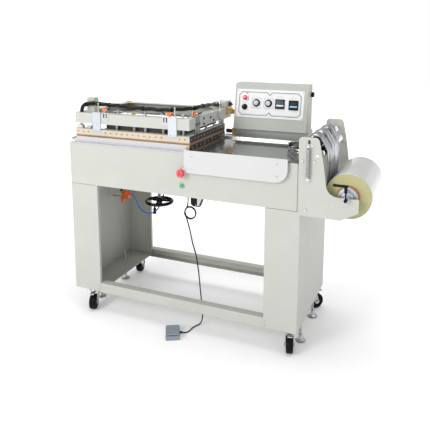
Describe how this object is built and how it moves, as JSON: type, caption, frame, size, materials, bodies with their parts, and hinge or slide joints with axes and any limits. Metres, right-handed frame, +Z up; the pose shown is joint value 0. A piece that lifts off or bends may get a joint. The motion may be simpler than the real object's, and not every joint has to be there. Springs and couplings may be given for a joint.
{
  "type": "L-bar film sealer",
  "caption": "Free-standing semi-automatic L-bar sealer for shrink film, with a lifting seal head, belt, tray, film roll holder, console and foot pedal.",
  "frame": {"origin": "on the floor, under the middle of the machine's bounding box without its pedal, cord and hose", "axes": "+X along the beam towards the film roll, +Y from the operator's side to the back, +Z up"},
  "size_m": [1.5617, 0.6715, 1.191],
  "materials": {
    "paint": "warm grey-ivory textured paint",
    "panel_white": "satin white",
    "stainless": "polished",
    "aluminium": "satin anodised",
    "bar_white": "white coated",
    "bar_cream": "cream coated",
    "seal_tape": "coated glass cloth",
    "chrome": "polished",
    "zinc": "zinc plated",
    "steel": "ground",
    "black_plastic": "satin",
    "black_rubber": "matte",
    "belt_green": "matte",
    "red_plastic": "gloss",
    "green_plastic": "gloss",
    "film": "wound clear film",
    "card": "card",
    "orange_plastic": "satin",
    "blue_hose": "gloss",
    "brass": "nickelled brass",
    "pedal_grey": "hammered paint"
  },
  "bodies": {
    "stand": {"left_leg": "paint", "right_leg": "paint", "front_rail": "paint", "rear_rail": "paint", "beam": "paint", "apron": "panel_white", "tray": "stainless", "tray_rail": "stainless", "lower_seal_bar": "bar_white", "seal_strip": "seal_tape", "guide_rod_left": "chrome", "guide_rod_right": "chrome", "control_box": "paint", "face_plate": "panel_white", "front_holder_plate": "paint", "rear_holder_plate": "paint", "film_web": "film", "air_valve": "orange_plastic", "air_hose": "blue_hose", "cord_gland": "brass", "cord_coil": "black_plastic", "pedal_cord": "black_plastic", "pedal_base": "pedal_grey"},
    "head": {"head_frame": "paint", "guide_tower_left": "paint", "guide_tower_right": "paint", "clamp_plate_left": "aluminium", "clamp_plate_right": "aluminium", "cable_harness": "black_plastic"},
    "seal_bar": {"upper_seal_bar": "bar_cream"},
    "conveyor": {"conveyor_bed": "zinc", "conveyor_belt": "belt_green"},
    "drive_roller": {"drive_roller": "steel"},
    "handwheel": {"handwheel": "black_plastic"},
    "roll": {"film_roll": "film", "roll_core": "card", "roll_shaft": "chrome"},
    "lever": {"chuck_lever": "black_plastic"},
    "upper_roller": {"upper_film_roller": "chrome"},
    "lower_roller": {"lower_film_roller": "chrome"},
    "stop_button": {"stop_button": "red_plastic"},
    "start_button": {"start_button": "green_plastic"},
    "power_button": {"power_button": "red_plastic"},
    "selector": {"selector_knob": "black_plastic"},
    "left_dial": {"time_dial_left": "panel_white"},
    "right_dial": {"time_dial_right": "panel_white"},
    "treadle": {"pedal_treadle": "pedal_grey"},
    "front_left_fork": {"front_left_castor_fork": "zinc"},
    "front_left_wheel": {"front_left_castor_wheel": "black_rubber"},
    "front_right_fork": {"front_right_castor_fork": "zinc"},
    "front_right_wheel": {"front_right_castor_wheel": "black_rubber"},
    "rear_left_fork": {"rear_left_castor_fork": "zinc"},
    "rear_left_wheel": {"rear_left_castor_wheel": "black_rubber"},
    "rear_right_fork": {"rear_right_castor_fork": "zinc"},
    "rear_right_wheel": {"rear_right_castor_wheel": "black_rubber"},
    "front_left_foot": {"front_left_levelling_foot": "zinc"},
    "front_right_foot": {"front_right_levelling_foot": "zinc"},
    "rear_left_foot": {"rear_left_levelling_foot": "zinc"},
    "rear_right_foot": {"rear_right_levelling_foot": "zinc"}
  },
  "joints": [
    {"name": "head_lift", "type": "slide", "parent": "stand", "child": "head", "axis": [0, 0, 1], "range_m": [0, 0.06]},
    {"name": "seal_bar_float", "type": "slide", "parent": "head", "child": "seal_bar", "axis": [0, 0, 1], "range_m": [0, 0.005], "stiffness_N_per_m": 6000, "springref_m": -0.004},
    {"name": "conveyor_height", "type": "slide", "parent": "stand", "child": "conveyor", "axis": [0, 0, 1], "range_m": [-0.06, 0]},
    {"name": "drive_roller_spin", "type": "hinge", "parent": "conveyor", "child": "drive_roller", "pos_m": [-0.1176, 0.0067, 0.894], "axis": [0, 1, 0], "continuous": true},
    {"name": "handwheel_turn", "type": "hinge", "parent": "stand", "child": "handwheel", "pos_m": [-0.3506, 0.0067, 0.553], "axis": [0, 0, 1], "range_deg": [-3600, 0]},
    {"name": "front_left_swivel", "type": "hinge", "parent": "stand", "child": "front_left_fork", "pos_m": [-0.6276, -0.2133, 0.1107], "axis": [0, 0, 1], "continuous": true},
    {"name": "front_left_wheel_spin", "type": "hinge", "parent": "front_left_fork", "child": "front_left_wheel", "pos_m": [-0.61771, -0.24373, 0.04], "axis": [0.9511, 0.309, 0], "continuous": true},
    {"name": "front_right_swivel", "type": "hinge", "parent": "stand", "child": "front_right_fork", "pos_m": [0.4384, -0.1993, 0.1107], "axis": [0, 0, 1], "continuous": true},
    {"name": "front_right_wheel_spin", "type": "hinge", "parent": "front_right_fork", "child": "front_right_wheel", "pos_m": [0.44829, -0.22973, 0.04], "axis": [0.9511, 0.309, 0], "continuous": true},
    {"name": "rear_left_swivel", "type": "hinge", "parent": "stand", "child": "rear_left_fork", "pos_m": [-0.6276, 0.2267, 0.1107], "axis": [0, 0, 1], "continuous": true},
    {"name": "rear_left_wheel_spin", "type": "hinge", "parent": "rear_left_fork", "child": "rear_left_wheel", "pos_m": [-0.63316, 0.25821, 0.04], "axis": [-0.9848, -0.1736, 0], "continuous": true},
    {"name": "rear_right_swivel", "type": "hinge", "parent": "stand", "child": "rear_right_fork", "pos_m": [0.4384, 0.2127, 0.1107], "axis": [0, 0, 1], "continuous": true},
    {"name": "rear_right_wheel_spin", "type": "hinge", "parent": "rear_right_fork", "child": "rear_right_wheel", "pos_m": [0.46103, 0.23533, 0.04], "axis": [-0.7071, 0.7071, 0], "continuous": true},
    {"name": "front_left_foot_screw", "type": "slide", "parent": "stand", "child": "front_left_foot", "axis": [0, 0, 1], "range_m": [-0.003, 0.025]},
    {"name": "front_right_foot_screw", "type": "slide", "parent": "stand", "child": "front_right_foot", "axis": [0, 0, 1], "range_m": [-0.003, 0.025]},
    {"name": "rear_left_foot_screw", "type": "slide", "parent": "stand", "child": "rear_left_foot", "axis": [0, 0, 1], "range_m": [-0.003, 0.025]},
    {"name": "rear_right_foot_screw", "type": "slide", "parent": "stand", "child": "rear_right_foot", "axis": [0, 0, 1], "range_m": [-0.003, 0.025]},
    {"name": "roll_spin", "type": "hinge", "parent": "stand", "child": "roll", "pos_m": [0.6834, -0.0483, 0.768], "axis": [0, 1, 0], "continuous": true},
    {"name": "chuck_lever_turn", "type": "hinge", "parent": "roll", "child": "lever", "pos_m": [0.6834, -0.2903, 0.768], "axis": [0, 1, 0], "range_deg": [0, 90]},
    {"name": "upper_roller_spin", "type": "hinge", "parent": "stand", "child": "upper_roller", "pos_m": [0.5314, 0.0067, 0.981], "axis": [0, 1, 0], "continuous": true},
    {"name": "lower_roller_spin", "type": "hinge", "parent": "stand", "child": "lower_roller", "pos_m": [0.5584, 0.0067, 0.94], "axis": [0, 1, 0], "continuous": true},
    {"name": "stop_press", "type": "slide", "parent": "stand", "child": "stop_button", "axis": [0, 1, 0], "range_m": [0, 0.005], "stiffness_N_per_m": 1500, "springref_m": -0.002},
    {"name": "start_press", "type": "slide", "parent": "stand", "child": "start_button", "axis": [0, 1, 0], "range_m": [0, 0.004], "stiffness_N_per_m": 1200, "springref_m": -0.002},
    {"name": "power_press", "type": "slide", "parent": "stand", "child": "power_button", "axis": [0, 0.9857, -0.1685], "range_m": [0, 0.003], "stiffness_N_per_m": 1200, "springref_m": -0.002},
    {"name": "selector_turn", "type": "hinge", "parent": "stand", "child": "selector", "pos_m": [0.0794, 0.15408, 1.07036], "axis": [0, -0.9857, 0.1685], "range_deg": [-45, 45]},
    {"name": "left_dial_turn", "type": "hinge", "parent": "stand", "child": "left_dial", "pos_m": [0.1419, 0.15795, 1.09303], "axis": [0, -0.9857, 0.1685], "range_deg": [-150, 150]},
    {"name": "right_dial_turn", "type": "hinge", "parent": "stand", "child": "right_dial", "pos_m": [0.2059, 0.15795, 1.09303], "axis": [0, -0.9857, 0.1685], "range_deg": [-150, 150]},
    {"name": "treadle_press", "type": "hinge", "parent": "stand", "child": "treadle", "pos_m": [-0.09094, -0.34915, 0.03], "axis": [0.8829, 0.4695, 0], "range_deg": [-5, 0], "stiffness_Nm_per_rad": 4, "springref_deg": 6.88}
  ],
  "couplings": [
    {"joint": "conveyor_height", "follows": "handwheel_turn", "m_per_rad": 0.00095493}
  ]
}
